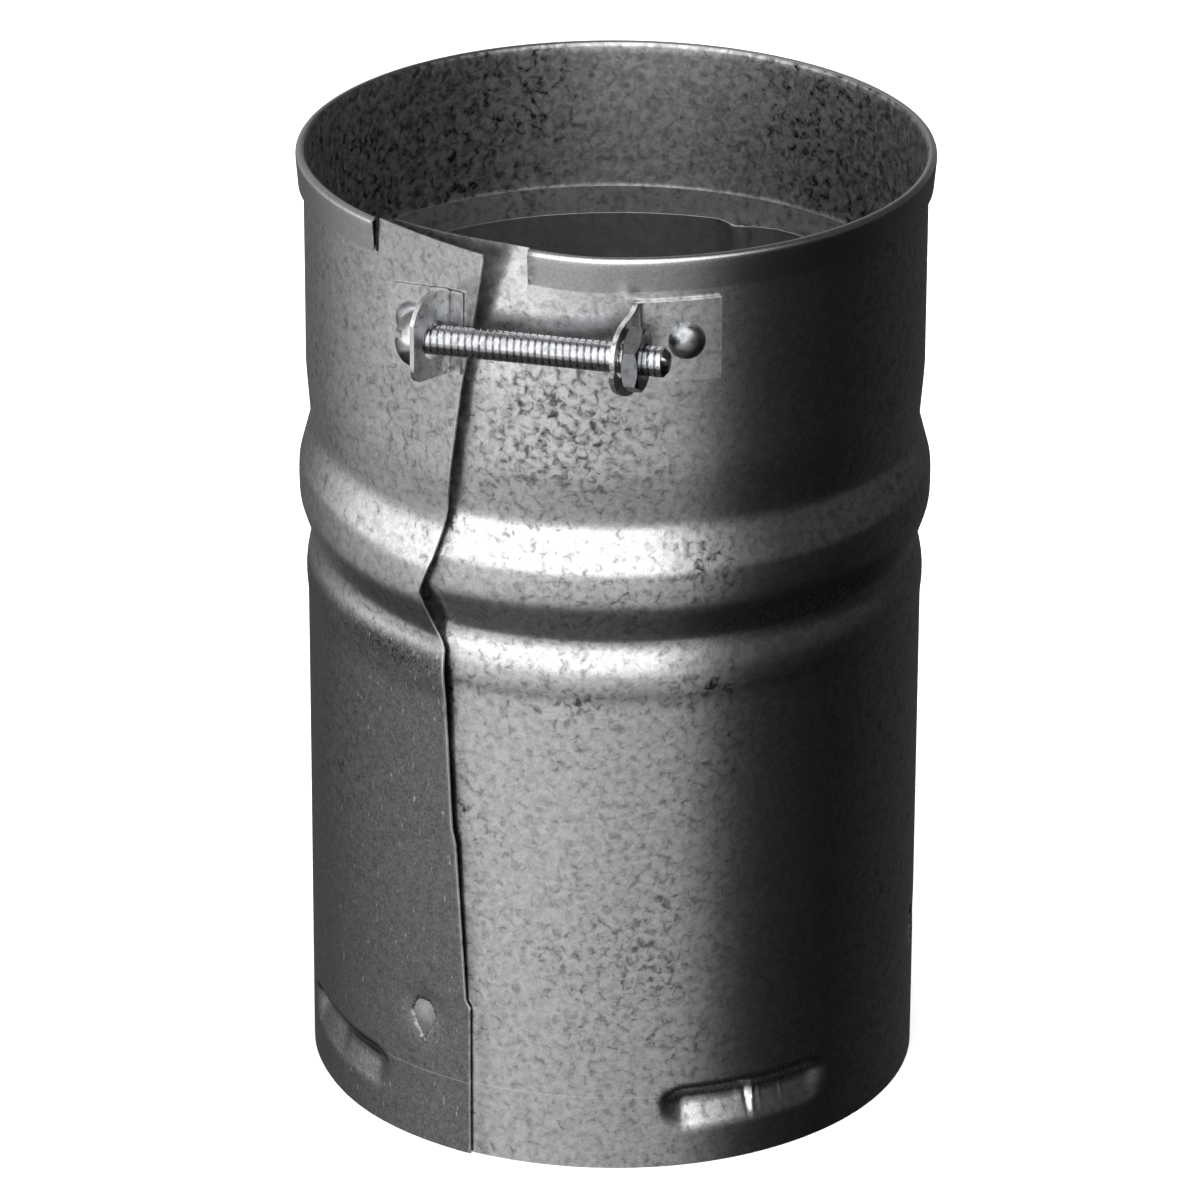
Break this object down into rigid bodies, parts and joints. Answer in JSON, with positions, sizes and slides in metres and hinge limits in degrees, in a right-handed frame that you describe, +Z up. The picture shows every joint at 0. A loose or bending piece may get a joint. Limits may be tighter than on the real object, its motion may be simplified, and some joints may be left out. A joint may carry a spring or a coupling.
{
  "type": "gas vent adapter",
  "caption": "Round double-wall gas vent adapter: beaded steel shell with a split, hemmed collar drawn up by a screw and nut, an inner liner on spacer rings, and a twist-lock pipe end.",
  "frame": {"origin": "centre of the bottom edge of the twist-lock pipe end, on the pipe's axis", "axes": "+Z up along the pipe's axis, towards the split collar; -Y forwards, to the side the clamp screw crosses; +X to the right, seen from the front"},
  "size_m": [0.1173, 0.13, 0.1804],
  "materials": {
    "galvanised_shell": "galvanised sheet with a fine spangle",
    "liner_aluminium": "smooth mill finish",
    "spacer_steel": "galvanised sheet",
    "lug_steel": "matt galvanised",
    "rivet_metal": "satin",
    "screw_steel": "bright zinc plated",
    "nut_steel": "zinc plated"
  },
  "bodies": {
    "pipe": {"shell": "galvanised_shell", "liner": "liner_aluminium", "upper_spacer": "spacer_steel", "lower_spacer": "spacer_steel", "left_lug": "lug_steel", "right_lug": "lug_steel", "left_rivet": "rivet_metal", "right_rivet": "rivet_metal"},
    "screw": {"clamp_screw": "screw_steel"},
    "nut": {"clamp_nut": "nut_steel"}
  },
  "joints": [
    {"name": "screw_turn", "type": "hinge", "parent": "pipe", "child": "screw", "pos_m": [-0.01572, -0.0608, 0.1645], "axis": [0.9681, -0.2504, 0], "range_deg": [-1440, 0]},
    {"name": "nut_travel", "type": "slide", "parent": "pipe", "child": "nut", "axis": [0.9681, -0.2504, 0], "range_m": [0, 0.00508]}
  ],
  "couplings": [
    {"joint": "screw_turn", "follows": "nut_travel", "rad_per_m": -4947.4}
  ]
}
